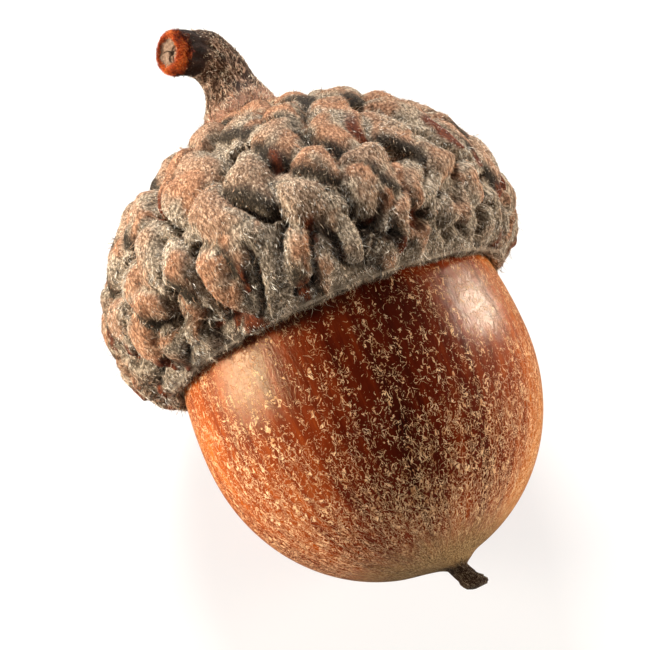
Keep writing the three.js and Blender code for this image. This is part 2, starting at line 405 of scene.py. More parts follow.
def nutSkinMaterial():
    m, shader = newMaterial("nutSkin", Roughness=0.4, IOR=1.45, Specular_IOR_Level=0.38,
                            Specular_Tint=(1.0, 0.78, 0.5, 1), Coat_Weight=0.34, Coat_Roughness=0.11)
    skin = readPoints(m, "skinAt", "Vector")  # round, round, mm from the end
    facing = readPoints(m, "shadedDarkSide")
    litGolden = readPoints(m, "litGoldenSide")
    fromEnd = addNode(m, "SeparateXYZ", {0: skin}).outputs[2]

    # the skin: broad blotches and streaks along the nut
    broad = noiseOn(m, stretched(m, skin, (1, 1, 0.45)), 0.2, 4, 0.62)
    streak = noiseOn(m, stretched(m, skin, (1, 1, 0.07)), 1.5, 4, 0.65)
    fine = noiseOn(m, stretched(m, skin, (1, 1, 0.4)), 8.0, 3, 0.65)
    tone = sums(m, "MULTIPLY", sums(m, "SUBTRACT", streak, 0.25), 0.52)
    tone = sums(m, "MULTIPLY_ADD", broad, 0.8, tone)
    # painted shade: darker in the middle of the nut, over its own darker band, and on its lower side near the
    # tip
    tone = sums(m, "MULTIPLY_ADD", facing, -0.24, tone)
    # painted light: the flanks brighter and more golden, over the skin's own orange
    tone = sums(m, "MULTIPLY_ADD", litGolden, 0.25, tone)
    tone = sums(m, "MULTIPLY_ADD", fine, 0.1, tone)
    browns = [(0.16, (42, 6, 1)), (0.34, (78, 19, 3)), (0.5, (116, 42, 11)), (0.68, (160, 74, 19)),
              (0.86, (198, 114, 38))]
    base = ramp(m, tone, browns)

    # scurf: thin broken worms, mostly along the nut, and dots between them
    wavy = wandering(m, skin, (1, 1, 0.7), size=1.6, reach=0.8, middle=0.5)
    patches = noiseOn(m, stretched(m, skin, (1, 1, 0.6)), 0.7, 4.0, 0.65)
    amount = sums(m, "ADD", patches, between(m, fromEnd, 18.0, 8.0, -0.01, 0.27))
    amount = sums(m, "MULTIPLY_ADD", litGolden, 0.06, amount)
    amount = sums(m, "MULTIPLY_ADD", facing, -0.14, amount)
    worms = []
    for size, width in ((2.2, 0.02), (3.3, 0.027), (4.6, 0.035)):
        gaps = noiseOn(m, wavy, size * 0.9, 2.0, 0.5, 0.3)
        broken = between(m, sums(m, "MULTIPLY_ADD", amount, 0.5, gaps), 0.72, 0.78)
        worms.append(sums(m, "MULTIPLY", thinLine(m, wavy, size, width, 0.45), broken))
    dots = noiseOn(m, stretched(m, skin, (1, 1, 0.7)), 10.0, 2.0, 0.5)
    dots = between(m, sums(m, "MULTIPLY_ADD", amount, 0.3, dots), 0.86, 0.92)
    scurf = sums(m, "MAXIMUM", largest(m, worms), sums(m, "MULTIPLY", dots, 0.6), clamp=True)
    pale = ramp(m, noiseOn(m, skin, 2.3, 2.0), [(0.3, (190, 132, 84)), (0.7, (248, 212, 164))])
    colour = mixColour(m, sums(m, "MULTIPLY", scurf, 0.88), base, pale)

    # the dull speckled tip and the dark beak, with streaks between the two
    specks = noiseOn(m, skin, 5.0, 3.0, 0.75)
    uneven = sums(m, "SUBTRACT", noiseOn(m, stretched(m, skin, (1, 1, 0.5)), 0.9, 5, 0.75), 0.5)
    dull = between(m, sums(m, "MULTIPLY_ADD", uneven, 5.0, fromEnd), 7.6, 4.0)
    tan = ramp(m, specks, [(0.38, (50, 27, 11)), (0.49, (136, 102, 58)), (0.61, (214, 184, 132))])
    colour = mixColour(m, sums(m, "MULTIPLY", dull, 0.86), colour, tan)
    streaks = sums(m, "SUBTRACT", noiseOn(m, stretched(m, skin, (0.5, 0.5, 0.35)), 1.0, 3, 0.7), 0.5)
    beak = between(m, sums(m, "MULTIPLY_ADD", streaks, 2.6, fromEnd), 2.7, 1.9)
    darkBeak = ramp(m, specks, [(0.36, (14, 4, 3)), (0.58, (50, 18, 11)), (0.63, (226, 204, 172))])
    colour = mixColour(m, beak, colour, darkBeak)
    feed(m, shader.inputs["Base Color"], colour)

    rough = sums(m, "MULTIPLY_ADD", scurf, 0.26, 0.27)
    rough = sums(m, "MULTIPLY_ADD", dull, 0.3, rough)
    feed(m, shader.inputs["Roughness"], rough)
    strokes = noiseOn(m, stretched(m, skin, (1, 1, 0.3)), 13.0, 2, 0.6)
    height = sums(m, "MULTIPLY_ADD", fine, 0.9, sums(m, "MULTIPLY", scurf, 0.8))
    height = sums(m, "MULTIPLY_ADD", strokes, 0.55, height)
    height = sums(m, "MULTIPLY_ADD", sums(m, "MULTIPLY", specks, beak), 2.5, height)
    bump = addNode(m, "Bump", {"Height": height, "Distance": 0.00003, "Strength": 0.9})
    feed(m, shader.inputs["Normal"], bump.outputs[0])
    feed(m, shader.inputs["Coat Normal"], bump.outputs[0])
    return m


nutTones = {  # where the skin is darker (painted shade over its own darker band; near the tip painted shade only) or more golden (painted light over its own orange), in degrees round it from its top, and how much
    "shadedDarkAt": 2,
    "dark": 1.08,
    "shadedTipAt": -26,
    "shadedTip": 0.5,
    "litGoldenAt": 78,
    "leftLitGoldenAt": -80,
    "leftLitGolden": 0.22,
}


def makeNut():
    n = nutShape
    outline = nutOutline()
    bm = spunBody(outline, n["around"])
    places = placesOf(bm)
    across = np.hypot(places[:, 1], places[:, 2])
    angle = np.arctan2(places[:, 1], places[:, 2])
    spots = np.array(outline[::-1])
    length = distanceAlong(spots)
    order = np.argsort(spots[:, 1])
    fromEnd = np.interp(places[:, 0], spots[order, 1], length[order])
    side = sideways(n["leanAngle"])
    leansFrom = n["widestAt"] + n["frontLength"] + n["beakLength"] - n["leanLength"]
    along = np.clip((places[:, 0] - leansFrom) / n["leanLength"], 0, None)
    lean = n["lean"] * along ** 1.1 * (1 - smooth(across, 0.8, n["flareRadius"]))
    places = places + lean[:, None] * side
    rough = SoftNoise(5, 0.35).at(places) * 0.05 * smooth(fromEnd, 3.2, 1.2)  # the shrivelled beak
    places[:, 1:] *= (1 + rough / np.maximum(across, 0.3))[:, None]
    laid = laidDown(places)
    laid[:, 2] = np.maximum(laid[:, 2], 0.0)  # the flat spot it rests on
    movePoints(bm, laid)
    piece = finishPiece("nutSkin", bm, nutSkinMaterial())
    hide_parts("nut")

    def facing(degrees, least, most):
        return smooth(np.cos(angle - math.radians(degrees)), least, most)

    s = nutTones
    nearTip = smooth(fromEnd, 2.0, 6.5) * (1 - smooth(fromEnd, 8.0, 14.0))
    # painted shade: the middle facing up, over the skin's own darker band, and the lower side near the tip
    dark = s["dark"] * facing(s["shadedDarkAt"], 0.42, 0.97) * smooth(fromEnd, 4.0, 13.0)
    # painted light: the right flank, and less of it on the left, over the skin's own orange
    right = facing(s["litGoldenAt"], 0.45, 0.97) * smooth(fromEnd, 3.0, 9.0)
    left = facing(s["leftLitGoldenAt"], 0.5, 0.98) * smooth(fromEnd, 9.0, 16.0)
    keepOnPoints(piece, {
        "skinAt": np.stack([n["radius"] * np.cos(angle), n["radius"] * np.sin(angle), fromEnd], 1),
        "shadedDarkSide": dark + s["shadedTip"] * facing(s["shadedTipAt"], 0.2, 0.95) * nearTip,
        "litGoldenSide": np.maximum(right, s["leftLitGolden"] * left),
    })
    return piece


nutPiece = makeNut()
print("nut made:", len(nutPiece.data.polygons), "faces")


# Cup

class CupOutline:
    def __init__(self, c):
        points = []
        steps = c["outlineSteps"]
        for i in range(steps + 1):
            radius, back = eggPoint(c["radius"], c["crownLength"], c["crownPower"], i / steps)
            points.append((c["widestAt"] - back, radius))
        for i in range(steps - 1, 0, -1):
            radius, front = eggPoint(c["radius"], c["rimLength"], c["rimPower"], i / steps)
            if c["widestAt"] + front < c["rimAt"]:
                points.append((c["widestAt"] + front, radius))
        self.spots = np.array(points)
        self.distance = distanceAlong(self.spots)
        self.length = self.distance[-1]
        slope = np.gradient(self.spots, self.distance, axis=0)
        self.slope = slope / np.linalg.norm(slope, axis=1)[:, None]

    def at(self, along):  # x, radius and the forward direction as (x, radius)
        x = np.interp(along, self.distance, self.spots[:, 0])
        radius = np.interp(along, self.distance, self.spots[:, 1])
        dx = np.interp(along, self.distance, self.slope[:, 0])
        dr = np.interp(along, self.distance, self.slope[:, 1])
        size = np.hypot(dx, dr)
        return x, radius, dx / size, dr / size

    def relief(self, along):
        s = scaleRule
        share = np.asarray(along) / self.length
        end = np.where(share < 0.5, s["reliefAtCrown"], s["reliefAtRim"])
        return end + (s["reliefAtSide"] - end) * np.sin(np.pi * np.clip(share, 0, 1))

    def patch(self, along):
        s = scaleRule
        share = along / self.length
        grown = s["areaAtCrown"] + (s["areaAtSide"] - s["areaAtCrown"]) * smooth(share, 0, 0.4)
        return float(grown - (s["areaAtSide"] - s["areaAtRim"]) * smooth(share, 0.66, 0.97))


cupOutline = CupOutline(cupShape)


def scaleList():
    s = scaleRule
    found = []
    along, number, angle = s["first"], s["seed"], s["start"]
    while along < cupOutline.length - s["last"]:
        patch = cupOutline.patch(along)
        wander = s["wander"] * math.sqrt(patch) * (chance(number + 0.1) - 0.5)
        swing = s["swing"] * (chance(number + 0.9) - 0.5)
        place = min(along + wander, cupOutline.length - 0.9 * s["last"])
        found.append((number, place, math.radians(angle + swing)))
        along += patch / (2 * math.pi * cupOutline.at(along)[1])
        angle += s["turn"]
        number += 1
    return found


def scaleField(along, angle, radius):  # the highest scale at each point, and how the point lies on it
    s = scaleRule
    count = len(along)
    keys = ("height", "across", "toTip", "dark", "tone", "strip", "tongue", "worn", "turn", "crease")
    field = {key: np.zeros(count) for key in keys}
    field["height"] -= s["root"] + s["deepen"]
    for number, place, at in scaleList():
        relief = float(cupOutline.relief(place))
        grown = 1 + s["wander"] * (chance(number + 0.5) - 0.5)
        patch = math.sqrt(cupOutline.patch(place)) * grown
        rise = s["root"] + relief * (1 + 0.28 * (chance(number + 0.7) - 0.5))
        off = (angle - at + math.pi) % math.tau - math.pi
        near = np.nonzero((np.abs(along - place) < patch) & (np.abs(off) * radius < patch))[0]
        if not len(near):
            continue
        u = -off[near] * radius[near]
        v = along[near] - place
        twist = math.radians(s["twist"] * (chance(number + 0.3) - 0.5))
        x = u * math.cos(twist) + v * math.sin(twist)
        y = v * math.cos(twist) - u * math.sin(twist)
        slim = 0.86 + 0.3 * chance(number + 0.45)
        toTip = y / (patch * s["length"] * s["swollen"] * slim)
        narrow = 1 - s["narrowing"] * np.clip(toTip, 0, 1.2)
        across = x / (patch * s["width"] * s["swollen"] * narrow / math.sqrt(slim))
        out = np.sqrt(across ** 2 + toTip ** 2)
        dome = np.clip(1 - out ** s["fullness"], 0, 1) ** 0.5
        low = np.minimum(1, 1 - s["lowering"] * (toTip + 0.4))
        lap = 1 - s["lap"] * smooth(-toTip, 0.1, 1.0)
        height = (rise + s["deepen"]) * low * dome * lap - s["root"] - s["deepen"]

        # a cleft along one side of the scale, and over its crown end
        cleftSide = np.cos(np.arctan2(across, toTip) - math.tau * chance(number + 0.27))
        crownEnd = np.cos(np.arctan2(across, -toTip))
        crease = np.exp(-((out - 1.03) / s["creaseWidth"]) ** 2)
        crease = crease * smooth(np.maximum(cleftSide, 0.9 * crownEnd), 0.1, 0.75)
        bare = np.zeros(len(near))
        if chance(number + 0.15) < s["bareTips"]:
            wide = 0.24 + 0.2 * chance(number + 0.19)
            ends = 1.08 + 0.22 * chance(number + 0.21)
            strip = (1 - smooth(np.abs(x), wide - 0.06, wide + 0.06)) * smooth(toTip, 0.35, 0.6)
            bare = strip * (1 - smooth(toTip, ends - 0.05, ends + 0.03))
            height = height + 0.08 * bare
            crease = np.maximum(crease, strip * np.exp(-((toTip - ends - 0.09) / 0.06) ** 2))
            field["tongue"][near] = np.maximum(field["tongue"][near], bare)
        field["crease"][near] = np.maximum(field["crease"][near], crease)
        wins = height > field["height"][near]
        leastWorn, wornRange = s["otherTops"]
        otherTop = leastWorn + wornRange * chance(number + 0.65)
        own = {
            "height": height[wins],
            "across": across[wins],
            "toTip": toTip[wins],
            "strip": bare[wins],
            "turn": twist,
            "tone": chance(number + 0.33),
            "worn": s["wornTops"] if chance(number + 0.61) < s["worn"] else otherTop,
            # a blackish lower end: partly the scale's own dark patch, partly painted shade
            "dark": chance(number + 0.77) < s["darkShadedEnds"],
        }
        for key, values in own.items():
            field[key][near[wins]] = values
    return field


def cupWallMaterial():
    m, shader = newMaterial("cupScale", Roughness=0.85, Specular_IOR_Level=0.3)
    felted = readPoints(m, "feltAt", "Vector")  # mm round, round and along
    shares = {key: readPoints(m, key) for key in ("top", "strip", "inside", "creviceShade", "darkShadedEnd")}
    grain = noiseOn(m, stretched(m, felted, (1, 1, 0.4)), 8.0, 3, 0.7)
    felt = ramp(m, grain, [(0.3, (36, 29, 23)), (0.5, (116, 102, 86)), (0.7, (206, 190, 168))])
    worn = ramp(m, grain, [(0.3, (64, 34, 20)), (0.5, (140, 90, 60)), (0.7, (206, 156, 118))])
    bare = ramp(m, grain, [(0.3, (34, 12, 6)), (0.55, (88, 38, 18)), (0.8, (146, 82, 46))])
    dark = ramp(m, grain, [(0.3, (16, 12, 9)), (0.55, (44, 36, 28)), (0.75, (98, 86, 70))])
    hollow = ramp(m, grain, [(0.3, (84, 56, 34)), (0.7, (136, 98, 62))])
    colour = mixColour(m, shares["top"], felt, worn)
    # painted shade in the clefts and furrows; on the scales' lower ends, their own blackish patches with
    # painted shade
    colour = mixColour(m, sums(m, "MAXIMUM", shares["creviceShade"], shares["darkShadedEnd"]), colour, dark)
    colour = mixColour(m, shares["strip"], colour, bare)
    colour = mixColour(m, shares["inside"], colour, hollow)
    feed(m, shader.inputs["Base Color"], colour)
    bump = addNode(m, "Bump", {"Height": grain, "Distance": 0.00006, "Strength": 0.6})
    feed(m, shader.inputs["Normal"], bump.outputs[0])
    return m


def makeCup():
    c, s = cupShape, scaleRule
    along = np.linspace(0, cupOutline.length, c["rings"] + 1)
    x, radius, dx, dr = cupOutline.at(along)
    relief = cupOutline.relief(along)
    outer = list(zip(np.where(along > 0, radius - relief * dx, 0), x + relief * dr))
    hollow = [p for p in nutBackOutline(c["clearance"], 24) if p[1] < outer[-1][1] - 0.25][::-1]
    lipR, lipX = outer[-1]
    thick = lipR - hollow[0][0]
    lip = [(lipR - thick * part, lipX + out) for part, out in c["lip"]]
    bm = spunBody(outer + lip + hollow, c["around"])
    places = placesOf(bm)
    across = np.hypot(places[:, 1], places[:, 2])
    angle = np.arctan2(places[:, 1], places[:, 2])

    # which points are on a ring of the outside, and how far along it that ring lies
    rings = np.array(outer)
    gap = np.hypot(across[:, None] - rings[:, 0], places[:, :1] - rings[:, 1])
    outside = gap.min(1) < 0.004
    d = np.where(outside, along[gap.argmin(1)], 0)

    # the scales and furrows, in mm over the cup's plain surface
    ox, orad, odx, odr = cupOutline.at(d)
    sinA, cosA = np.sin(angle), np.cos(angle)
    reliefs = cupOutline.relief(d)
    calm = smooth(d, 1.0, 3.0)
    aside = SoftNoise(25, 1.9).at(places) * s["uneven"] * calm
    askew = SoftNoise(26, 1.7).at(places) * s["uneven"] * calm
    field = scaleField(d + aside, angle + askew / np.maximum(orad, 2), orad)
    leastWeb, mostWeb = s["web"]
    web = leastWeb + (mostWeb - leastWeb) * smooth(SoftNoise(27, 1.5).at(places), -0.8, 0.8)
    creases = field["crease"] * smooth(reliefs, 0.25, 0.6)
    toRim = cupOutline.length - d
    ribbed = (1 - smooth(toRim, *s["ribZone"])) * smooth(toRim, 0.2, 0.9) * outside
    ribNoise = SoftNoise(30, s["ribSize"]).at(np.stack([orad * cosA, orad * sinA, d * s["ribStretch"]], 1))
    furrow = (1 - smooth(np.abs(ribNoise), 0.05, 0.46)) * ribbed
    ground = web * reliefs - s["crease"] * creases + 0.12 * field["tongue"]
    raised = np.maximum(field["height"], ground)
    overWeb = field["height"] - ground
    bumps = SoftNoise(21, 1.1).at(places) * 0.07 + SoftNoise(22, 0.42).at(places) * 0.035
    atRim = smooth(d, cupOutline.length - 1.3, cupOutline.length)
    nearRim = np.where(outside, 1 - smooth(toRim, 1.0, 3.0), 1.0)
    raised = raised * (1 + s["higherAtRim"] * nearRim) + bumps * (1 + 0.8 * nearRim)
    raised = raised - s["ribs"] * furrow * (1 - 0.5 * atRim)
    forward = c["overhang"] * raised * smooth(field["toTip"], 0.25, 0.85) * (1 - atRim)
    px = ox + forward * odx - (raised - reliefs) * odr
    pr = orad + forward * odr + (raised - reliefs) * odx
    pr = np.where(d <= 0.001, 0, pr)  # the pole stays on the axis
    places = np.where(outside[:, None], np.stack([px, pr * sinA, pr * cosA], 1), places)

    # the lip follows the wall's last ring, and is ragged
    onLip = ~outside & (places[:, 0] > lipX - 0.12)
    edge = np.nonzero(outside & (d > cupOutline.length - 0.001))[0]
    edge = edge[np.argsort(angle[edge])]
    edgeRadius = np.hypot(places[edge, 1], places[edge, 2])
    offEdge = np.interp(angle, angle[edge], edgeRadius - lipR, period=math.tau)
    offEdge = offEdge * np.clip(1 - (lipR - across) / (0.9 * thick), 0, 1) * onLip
    places[:, 1:] *= (1 + offEdge / np.maximum(across, 1))[:, None]
    ragged = sum(SoftNoise(seed, size).at(places) * depth for seed, size, depth in c["raggedLip"])
    places[:, 0] += (ragged + 0.3 * offEdge) * onLip
    laid = laidDown(places)
    laid[:, 2] = np.maximum(laid[:, 2], 0.0)
    movePoints(bm, laid)
    piece = finishPiece("cupWall", bm, cupWallMaterial())
    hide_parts("cup")

    # what the material and the hairs read
    share = np.clip(overWeb / np.maximum(reliefs, 0.2), 0, 1.2)
    onHump = smooth(share + 0.2 * SoftNoise(34, 0.7).at(places), 0.15, 0.8)
    slots = smooth(furrow, 0.8, 0.97) * smooth(SoftNoise(33, 0.9).at(places), -0.1, 0.2)
    strips = np.where(overWeb > 0, field["strip"], np.maximum(field["strip"], field["tongue"]))
    strips = np.maximum(strips, slots)
    # painted shade: the clefts and the furrows between the ribs are marked for darker colour
    clefts = np.maximum(creases * (1 - smooth(overWeb, 0.02, 0.3)), 0.7 * furrow ** 2)
    # the lower end and one side of a scale, for its blackish patch with painted shade
    lowerEnd = smooth(field["toTip"] + 0.6 * field["across"], 0.1, 0.55) * smooth(overWeb, 0, 0.1)
    spread = field["turn"] + 0.5 * field["across"] * np.clip(field["height"], 0, 1)
    roundAt = np.stack([np.zeros(len(d)), cosA, -sinA], 1)
    ahead = np.stack([odx, odr * sinA, odr * cosA], 1)
    flow = ahead * np.cos(spread)[:, None] - roundAt * np.sin(spread)[:, None]
    flow[onLip] = (1, 0, 0)
    keepOnPoints(piece, {
        "top": onHump * field["worn"] * outside,
        "valley": (1 - smooth(share, 0.05, 0.35)) * outside,
        "strip": strips * outside,
        "inside": (~outside & ~onLip).astype(float),
        # painted shade in the clefts and furrows, and a little near the rim
        "creviceShade": np.maximum(clefts * outside, 0.12 * nearRim * (outside | onLip)),
        # blackish lower ends: partly the scales' own dark patches, partly painted shade
        "darkShadedEnd": field["dark"] * lowerEnd * outside,
        "tone": np.where(onLip, 0.15, field["tone"]),
        "distance": np.where(onLip, 1.0, d / cupOutline.length),
        "feltAt": np.stack([orad * cosA, orad * sinA, np.where(outside, d, places[:, 0])], 1),
        "flow": laidAlong(flow),  # which way the hair lies: to the rim, spread over the scale
    })
    return piece


cupPiece = makeCup()
print("cup made:", len(cupPiece.data.polygons), "faces")


# Wool: real hairs, each a narrow pointed blade

def bladeShape(steps):
    bm = bmesh.new()
    bmesh.ops.create_grid(bm, x_segments=1, y_segments=steps, size=1)
    bm.verts.ensure_lookup_table()
    tips = [v for v in bm.verts if v.co.y > 0.9]
    bmesh.ops.pointmerge(bm, verts=tips, merge_co=(0, 1, 0))
    bmesh.ops.recalc_face_normals(bm, faces=bm.faces)
    bm.verts.index_update()
    shape = np.array([(v.co.x, v.co.y / 2 + 0.5) for v in bm.verts])
    faces = [[v.index for v in f.verts] for f in bm.faces]
    bm.free()
    return shape, faces


def readArray(items, field, width, kind=float):
    numbers = np.zeros(len(items) * width, kind)
    items.foreach_get(field, numbers)
    return numbers.reshape(-1, width)


def scatterOn(piece, count, seed, keep):  # spots on the piece, with all that is kept on its points
    mesh = piece.data
    mesh.calc_loop_triangles()
    corners = readArray(mesh.loop_triangles, "vertices", 3, int)
    co = readArray(mesh.vertices, "co", 3)
    found = {"normal": readArray(mesh.vertex_normals, "vector", 3)}
    for layer in mesh.attributes:
        if layer.domain != "POINT" or layer.name.startswith(".") or layer.name == "position":
            continue
        if layer.data_type == "FLOAT":
            found[layer.name] = readArray(layer.data, "value", 1)
        elif layer.data_type == "FLOAT_VECTOR":
            found[layer.name] = readArray(layer.data, "vector", 3)
    a, b, c = (co[corners[:, i]] for i in range(3))
    area = np.linalg.norm(np.cross(b - a, c - a), axis=1)
    weight = np.cumsum(area * keep({key: values[corners].mean(1) for key, values in found.items()}))
    chanceOf = np.random.default_rng(seed)
    pick = np.searchsorted(weight, chanceOf.uniform(0, weight[-1], count))
    pick = np.clip(pick, 0, len(area) - 1)
    mix = chanceOf.dirichlet((1, 1, 1), count)
    found["place"] = co
    spots = {key: (values[corners[pick]] * mix[:, :, None]).sum(1) for key, values in found.items()}
    spots["normal"] /= np.linalg.norm(spots["normal"], axis=1)[:, None]
    spots = {key: values[:, 0] if values.shape[1] == 1 else values for key, values in spots.items()}
    return spots, chanceOf


def growHair(name, spots, chanceOf, s, tone, material):
    count = len(spots["place"])
    shape, faces = bladeShape(s["steps"])
    n = spots["normal"]
    flow = spots["flow"] - n * (spots["flow"] * n).sum(1)[:, None]
    flow /= np.maximum(np.linalg.norm(flow, axis=1), 1e-9)[:, None]
    side = np.cross(n, flow)
    mm = spots["place"] * 1000
    swirl = SoftNoise(s["seed"], s["tuft"]).at(mm) + 0.7 * SoftNoise(s["seed"] + 1, s["tuft"] * 0.4).at(mm)
    turn = np.radians(swirl * s["swirl"] + chanceOf.normal(0, s["mess"], count))
    ahead = flow * np.cos(turn)[:, None] + side * np.sin(turn)[:, None]
    side = np.cross(n, ahead)
    lift = np.radians(np.clip(chanceOf.normal(s["lift"], s["liftMess"], count), 3, 80))
    strays = chanceOf.random(count) < s["strays"]
    lift = np.where(strays, np.radians(chanceOf.uniform(35, 75, count)), lift)
    length = chanceOf.uniform(s["shortest"], s["longest"], count) * 0.001 * spots.get("grow", np.ones(count))
    length = np.where(strays, length * s["strayLength"], length)
    width = chanceOf.uniform(0.7, 1.3, count) * s["width"] * 0.0005
    roll = np.radians(chanceOf.normal(0, 42, count))
    curl = chanceOf.normal(0, s["curl"], count)
    across = side * np.cos(roll)[:, None] + n * np.sin(roll)[:, None]
    root = spots["place"] - n * 0.00004
    t = shape[:, 1][None, :, None]
    u = shape[:, 0][None, :, None]
    arch = np.sin(lift)[:, None, None] * (t - 0.35 * t * t) * 1.3
    run = np.cos(lift)[:, None, None] * t
    bend = curl[:, None, None] * t * t
    path = ahead[:, None, :] * run + n[:, None, :] * arch + side[:, None, :] * bend
    taper = 1 - 0.55 * t ** 1.5
    places = root[:, None, :] + path * length[:, None, None]
    places += across[:, None, :] * (u * taper * width[:, None, None])
    places[:, :, 2] = np.maximum(places[:, :, 2], 0.00002)  # none goes through the floor

    # one mesh of all the blades; across its UV map lies the tone, and up it the way along the hair
    perHair = len(shape)
    mesh = bpy.data.meshes.new(name)
    sizes = np.tile([len(f) for f in faces], count)
    index = (np.array(sum(faces, []))[None, :] + np.arange(count)[:, None] * perHair).ravel()
    mesh.vertices.add(count * perHair)
    mesh.vertices.foreach_set("co", places.ravel())
    mesh.loops.add(len(index))
    mesh.loops.foreach_set("vertex_index", index)
    mesh.polygons.add(len(sizes))
    mesh.polygons.foreach_set("loop_start", np.concatenate([[0], sizes.cumsum()[:-1]]))
    uv = np.zeros((count, perHair, 2))
    uv[:, :, 0] = np.clip(tone, 0.004, 0.996)[:, None] + shape[None, :, 0] * 0.0015
    uv[:, :, 1] = 0.02 + 0.96 * shape[None, :, 1]
    layer = mesh.uv_layers.new(name="OFBake")
    layer.data.foreach_set("uv", uv.reshape(-1, 2)[index].ravel())
    mesh.update(calc_edges=True)
    mesh.validate()
    return showPiece(name, mesh, material)


# One palette for all the wool, read by a hair's tone: grey to cream, then brown to tan, then blackish

woolTones = {
    "grey": (0.02, 0.40),
    "rust": (0.44, 0.76),
    "black": (0.80, 0.98),
}


def woolMaterial(name, stops):
    m, shader = newMaterial(name, Roughness=0.75, Sheen_Weight=0.1, Sheen_Roughness=0.4)
    uv = addNode(m, "UVMap", uv_map="OFBake").outputs[0]
    tone, along = addNode(m, "SeparateXYZ", {0: uv}).outputs[:2]
    rootShade = between(m, along, 0.0, 0.6, 0.55, 1.0)  # the hairs shade each other's roots
    grey = addNode(m, "CombineColor", {0: rootShade, 1: rootShade, 2: rootShade}).outputs[0]
    feed(m, shader.inputs["Base Color"], mixColour(m, 1.0, ramp(m, tone, stops), grey, "MULTIPLY"))
    return m


cupWoolStops = [
    (0.0, (38, 30, 24)),
    (0.14, (150, 127, 104)),
    (0.28, (244, 222, 194)),
    (0.40, (255, 252, 242)),
    (0.43, (64, 36, 23)),
    (0.54, (138, 86, 56)),
    (0.66, (194, 142, 104)),
    (0.77, (242, 206, 170)),
    (0.79, (16, 11, 9)),
    (0.90, (56, 46, 36)),
    (1.0, (128, 110, 90)),
]

# Lengths and widths in mm, angles in degrees; tuft is the size of what lies one way, mm, and dark the extra
# share of blackish hairs. A blade of one step has one triangle, and one of two steps three

cupWool = [
    {"name": "cupWoolDeep", "seed": 31, "count": 165000, "steps": 1, "shortest": 0.15, "longest": 0.28,
     "width": 0.054, "lift": 7, "liftMess": 5, "mess": 16, "tuft": 1.6, "swirl": 16, "curl": 0.2,
     "strays": 0.0, "strayLength": 1.0, "dark": 0.17},
    {"name": "cupWoolLaid", "seed": 41, "count": 165000, "steps": 1, "shortest": 0.16, "longest": 0.3,
     "width": 0.047, "lift": 10, "liftMess": 6, "mess": 18, "tuft": 1.3, "swirl": 18, "curl": 0.25,
     "strays": 0.0, "strayLength": 1.0, "dark": 0.08},
    {"name": "cupWoolFine", "seed": 51, "count": 60000, "steps": 2, "shortest": 0.18, "longest": 0.34,
     "width": 0.03, "lift": 10, "liftMess": 6, "mess": 18, "tuft": 1.1, "swirl": 18, "curl": 0.35,
     "strays": 0.02, "strayLength": 1.2, "dark": 0.1},
    {"name": "cupWoolLoose", "seed": 61, "count": 52000, "steps": 2, "shortest": 0.2, "longest": 0.38,
     "width": 0.027, "lift": 12, "liftMess": 7, "mess": 20, "tuft": 1.0, "swirl": 18, "curl": 0.4,
     "strays": 0.13, "strayLength": 2.0, "dark": 0.06},
]


def cupTone(spots, chanceOf, dark):
    count = len(spots["place"])
    mm = spots["place"] * 1000
    patchy = SoftNoise(71, 1.4).at(mm) * 0.5 + SoftNoise(72, 0.5).at(mm) * 0.3
    rustChance = np.clip(spots["top"] * 1.05 + patchy * 0.36 - 0.05, 0.06, 0.9)
    # more blackish hairs in the clefts, furrows and near the rim (painted shade), and on the lower ends (own
    # dark patches with painted shade)
    darkChance = dark + 0.1 + spots["creviceShade"] * 0.85 + spots["darkShadedEnd"] * 0.72 + patchy * 0.2
    darkChance = np.clip(darkChance, 0.06, 0.92)
    draw, within = chanceOf.random(count), chanceOf.beta(0.9, 0.6, count)
    within = within + patchy * 0.24 + (spots["tone"] - 0.5) * 0.4 + 0.3 * spots["valley"] - 0.12
    within = np.clip(within, 0, 1)
    kind = np.where(draw < darkChance, 2, np.where(chanceOf.random(count) < rustChance, 1, 0))
    lows, highs = np.array([woolTones[key] for key in ("grey", "rust", "black")]).T
    return lows[kind] + (highs - lows)[kind] * within


def keepOutside(values):
    return (values["inside"][:, 0] < 0.01) * (1 - 0.78 * values["strip"][:, 0])


def makeCupWool():
    material = woolMaterial("cupWool", cupWoolStops)
    for s in cupWool:
        spots, chanceOf = scatterOn(cupPiece, s["count"], s["seed"], keepOutside)
        spots["grow"] = 1 + 0.3 * smooth(spots["distance"], 0.95, 0.99)
        growHair(s["name"], spots, chanceOf, s, cupTone(spots, chanceOf, s["dark"]), material)
        print("wool grown:", s["name"], s["count"])


makeCupWool()


# Stem

stemShape = {
    "seatAt": -13.1,
    "clearance": 0.3,
    "footRadius": 2.3,
    "middleRadius": 1.42,
    "endRadius": 1.36,
    "barkRing": 1.25,
    "faceRadius": 0.82,
    "faceAside": (-0.13, 0.24),  # mm that the bare wood lies off the middle of the cut
    "bendsTo": -11.3,  # degrees
    "around": 96,
    "rings": 110,
    # mm out from the foot, across and along the bend
    "route": [(0, 0, 0), (2.1, 0.08, 0.05), (3.95, -0.12, 0.6), (4.85, -0.85, 1.6), (5.15, -2.4, 3.25)],
    # the ring of bark: part of its radius, share of the stem's length
    "ringOutline": [(0.97, 0.947), (1.0, 0.956), (1.0, 0.97), (0.985, 0.982), (0.94, 0.991), (0.87, 0.998),
                    (0.82, 1.0)],
    # cracks in the wood: where each starts, how it wanders on its way out, and half its width in mm
    "cracks": [(0.5, 1.1, 0.04), (1.9, -0.9, 0.03), (2.9, 1.2, 0.035), (4.1, -1.0, 0.04), (5.3, 0.8, 0.03)],
}


